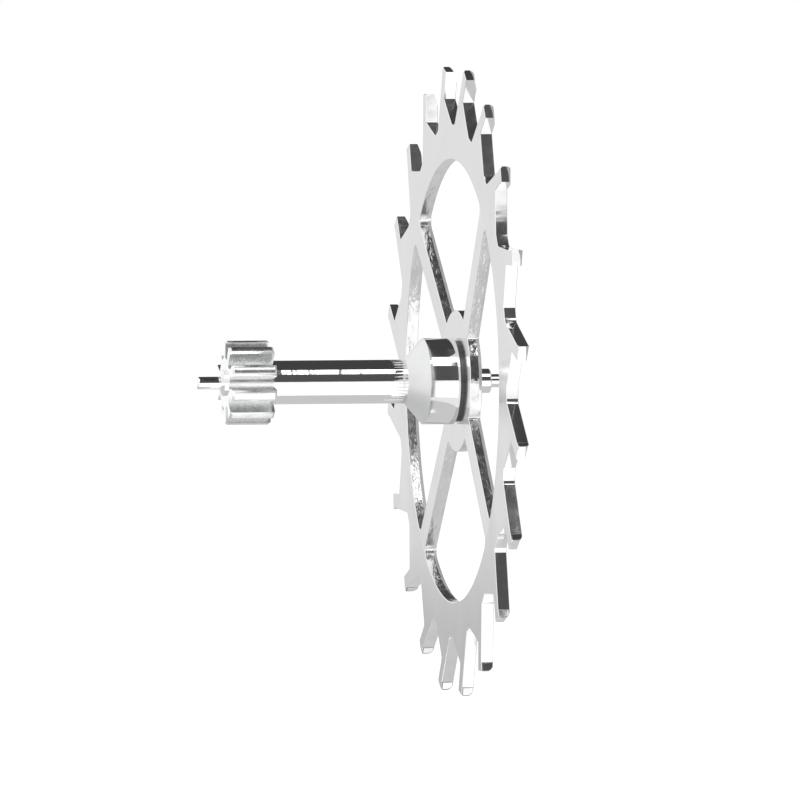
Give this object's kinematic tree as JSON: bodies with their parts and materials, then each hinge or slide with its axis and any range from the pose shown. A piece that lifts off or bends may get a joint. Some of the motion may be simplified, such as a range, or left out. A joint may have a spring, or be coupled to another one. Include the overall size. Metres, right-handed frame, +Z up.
{
  "type": "escape wheel",
  "caption": "Watch escape wheel with slanted club teeth and crossed arms, fixed on a turned steel arbor with a leaf pinion, cone, collar and two fine pivots.",
  "frame": {"origin": "centre of the wheel, on the arbor's axis, halfway through the rim's thickness", "axes": "+Y along the arbor from the pinion towards the rear pivot, +Z up in the wheel's plane, +X to the right as seen from the pinion end"},
  "size_m": [0.0044, 0.0023, 0.0044],
  "materials": {
    "wheel_steel": "fine satin face, bright cut walls",
    "arbor_steel": "hardened and mirror polished"
  },
  "bodies": {
    "root": {"escape_wheel": "wheel_steel", "escape_arbor": "arbor_steel"}
  },
  "joints": []
}
